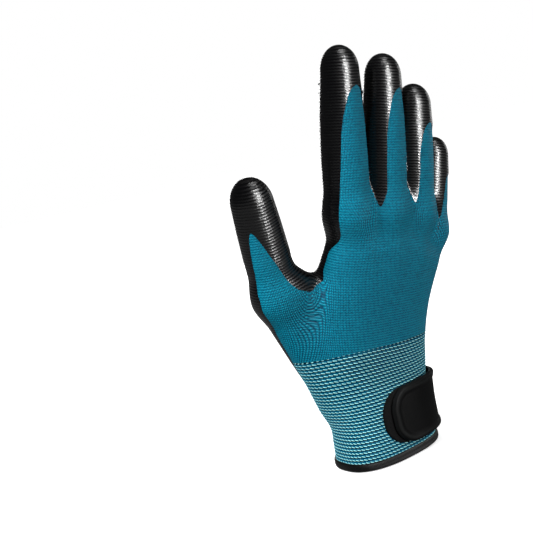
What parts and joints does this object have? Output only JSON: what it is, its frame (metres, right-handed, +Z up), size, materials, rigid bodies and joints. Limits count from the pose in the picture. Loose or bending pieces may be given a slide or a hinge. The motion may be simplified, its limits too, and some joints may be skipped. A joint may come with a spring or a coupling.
{
  "type": "pet grooming glove",
  "caption": "Right-hand knitted grooming glove with a dipped palm, soft rubber nubs on palm, fingers and thumb, and a hook-and-loop wrist strap.",
  "frame": {"origin": "centre of the cuff opening, in the plane of the hem", "axes": "+Z up the forearm towards the fingertips, +Y out of the palm, +X towards the little finger"},
  "size_m": [0.1403, 0.0686, 0.2213],
  "materials": {
    "teal_knit": "fine knitted polyester",
    "patterned_knit": "ribbed knit with pale flecks",
    "black_coating": "satin dipped nitrile",
    "black_rubber": "moulded soft rubber",
    "binding": "overlocked elastic thread",
    "strap_rubber": "matte moulded rubber",
    "strap_inlay": "matte rubber, recessed face",
    "hook_tape": "nylon hooks",
    "loop_pile": "brushed loop pile",
    "thread": "twisted thread"
  },
  "bodies": {
    "hand": {"hand_liner": "teal_knit", "cuff_rib": "patterned_knit", "palm_coating": "black_coating", "hem_binding": "binding", "finger_root_nub_band": "black_rubber", "thenar_nub_pad": "black_rubber", "outer_palm_nub_pad": "black_rubber", "index_root_nub": "black_rubber", "strap_anchor": "strap_rubber", "strap_stitches": "thread", "loop_patch": "loop_pile"},
    "index_proximal": {"index_proximal_liner": "teal_knit", "index_proximal_coating": "black_coating", "index_proximal_nub_pad": "black_rubber"},
    "index_middle": {"index_middle_liner": "teal_knit", "index_middle_coating": "black_coating", "index_middle_nub_pad": "black_rubber"},
    "index_distal": {"index_distal_liner": "teal_knit", "index_distal_coating": "black_coating", "index_distal_nub_pad": "black_rubber"},
    "middle_proximal": {"middle_proximal_liner": "teal_knit", "middle_proximal_coating": "black_coating", "middle_proximal_nub_pad": "black_rubber"},
    "middle_middle": {"middle_middle_liner": "teal_knit", "middle_middle_coating": "black_coating", "middle_middle_nub_pad": "black_rubber"},
    "middle_distal": {"middle_distal_liner": "teal_knit", "middle_distal_coating": "black_coating", "middle_distal_nub_pad": "black_rubber"},
    "ring_proximal": {"ring_proximal_liner": "teal_knit", "ring_proximal_coating": "black_coating", "ring_proximal_nub_pad": "black_rubber"},
    "ring_middle": {"ring_middle_liner": "teal_knit", "ring_middle_coating": "black_coating", "ring_middle_nub_pad": "black_rubber"},
    "ring_distal": {"ring_distal_liner": "teal_knit", "ring_distal_coating": "black_coating", "ring_distal_nub_pad": "black_rubber"},
    "little_proximal": {"little_proximal_liner": "teal_knit", "little_proximal_coating": "black_coating", "little_proximal_nub_pad": "black_rubber"},
    "little_middle": {"little_middle_liner": "teal_knit", "little_middle_coating": "black_coating", "little_middle_nub_pad": "black_rubber"},
    "little_distal": {"little_distal_liner": "teal_knit", "little_distal_coating": "black_coating", "little_distal_nub_pad": "black_rubber"},
    "thumb_proximal": {"thumb_proximal_liner": "teal_knit", "thumb_proximal_coating": "black_coating", "thumb_proximal_nub_pad": "black_rubber"},
    "thumb_distal": {"thumb_distal_liner": "teal_knit", "thumb_distal_coating": "black_coating", "thumb_distal_nub_pad": "black_rubber"},
    "strap": {"strap_tab": "strap_rubber", "strap_inlay": "strap_inlay", "hook_tape": "hook_tape"}
  },
  "joints": [
    {"name": "index_mcp", "type": "hinge", "parent": "hand", "child": "index_proximal", "pos_m": [-0.01199, -0.01549, 0.13953], "axis": [-0.9951, 0.0158, 0.0979], "range_deg": [0, 65], "stiffness_Nm_per_rad": 0.02},
    {"name": "index_pip", "type": "hinge", "parent": "index_proximal", "child": "index_middle", "pos_m": [-0.0097, -0.01939, 0.16348], "axis": [-0.9951, 0.0158, 0.0979], "range_deg": [0, 75], "stiffness_Nm_per_rad": 0.02},
    {"name": "index_dip", "type": "hinge", "parent": "index_middle", "child": "index_distal", "pos_m": [-0.0074, -0.02329, 0.18742], "axis": [-0.9951, 0.0158, 0.0979], "range_deg": [0, 45], "stiffness_Nm_per_rad": 0.02},
    {"name": "middle_mcp", "type": "hinge", "parent": "hand", "child": "middle_proximal", "pos_m": [0.01155, -0.01841, 0.13695], "axis": [-0.9902, 0.0045, 0.1398], "range_deg": [0, 65], "stiffness_Nm_per_rad": 0.02},
    {"name": "middle_pip", "type": "hinge", "parent": "middle_proximal", "child": "middle_middle", "pos_m": [0.01479, -0.02179, 0.15998], "axis": [-0.9902, 0.0045, 0.1398], "range_deg": [0, 75], "stiffness_Nm_per_rad": 0.02},
    {"name": "middle_dip", "type": "hinge", "parent": "middle_middle", "child": "middle_distal", "pos_m": [0.01802, -0.02517, 0.18301], "axis": [-0.9902, 0.0045, 0.1398], "range_deg": [0, 45], "stiffness_Nm_per_rad": 0.02},
    {"name": "ring_mcp", "type": "hinge", "parent": "hand", "child": "ring_proximal", "pos_m": [0.03343, -0.01692, 0.13014], "axis": [-0.9863, -0.0023, 0.1648], "range_deg": [0, 65], "stiffness_Nm_per_rad": 0.02},
    {"name": "ring_pip", "type": "hinge", "parent": "ring_proximal", "child": "ring_middle", "pos_m": [0.0367, -0.01957, 0.14971], "axis": [-0.9863, -0.0023, 0.1648], "range_deg": [0, 75], "stiffness_Nm_per_rad": 0.02},
    {"name": "ring_dip", "type": "hinge", "parent": "ring_middle", "child": "ring_distal", "pos_m": [0.03998, -0.02222, 0.16928], "axis": [-0.9863, -0.0023, 0.1648], "range_deg": [0, 45], "stiffness_Nm_per_rad": 0.02},
    {"name": "little_mcp", "type": "hinge", "parent": "hand", "child": "little_proximal", "pos_m": [0.05249, -0.01108, 0.1156], "axis": [-0.9863, -0.0023, 0.1648], "range_deg": [0, 65], "stiffness_Nm_per_rad": 0.02},
    {"name": "little_pip", "type": "hinge", "parent": "little_proximal", "child": "little_middle", "pos_m": [0.05496, -0.01295, 0.13037], "axis": [-0.9863, -0.0023, 0.1648], "range_deg": [0, 75], "stiffness_Nm_per_rad": 0.02},
    {"name": "little_dip", "type": "hinge", "parent": "little_middle", "child": "little_distal", "pos_m": [0.05743, -0.01481, 0.14514], "axis": [-0.9863, -0.0023, 0.1648], "range_deg": [0, 45], "stiffness_Nm_per_rad": 0.02},
    {"name": "thumb_mcp", "type": "hinge", "parent": "hand", "child": "thumb_proximal", "pos_m": [-0.04872, 0.00335, 0.10834], "axis": [-0.8414, 0.5389, -0.0404], "range_deg": [0, 40], "stiffness_Nm_per_rad": 0.02},
    {"name": "thumb_ip", "type": "hinge", "parent": "thumb_proximal", "child": "thumb_distal", "pos_m": [-0.05385, -0.00253, 0.13664], "axis": [-0.8414, 0.5389, -0.0404], "range_deg": [0, 55], "stiffness_Nm_per_rad": 0.02},
    {"name": "strap_hinge", "type": "hinge", "parent": "hand", "child": "strap", "pos_m": [0.03536, -0.00372, 0.024], "axis": [0, 0, 1], "range_deg": [0, 110], "stiffness_Nm_per_rad": 0.01}
  ],
  "couplings": [
    {"joint": "index_dip", "follows": "index_pip", "ratio": 0.6},
    {"joint": "middle_dip", "follows": "middle_pip", "ratio": 0.6},
    {"joint": "ring_dip", "follows": "ring_pip", "ratio": 0.6},
    {"joint": "little_dip", "follows": "little_pip", "ratio": 0.6}
  ]
}
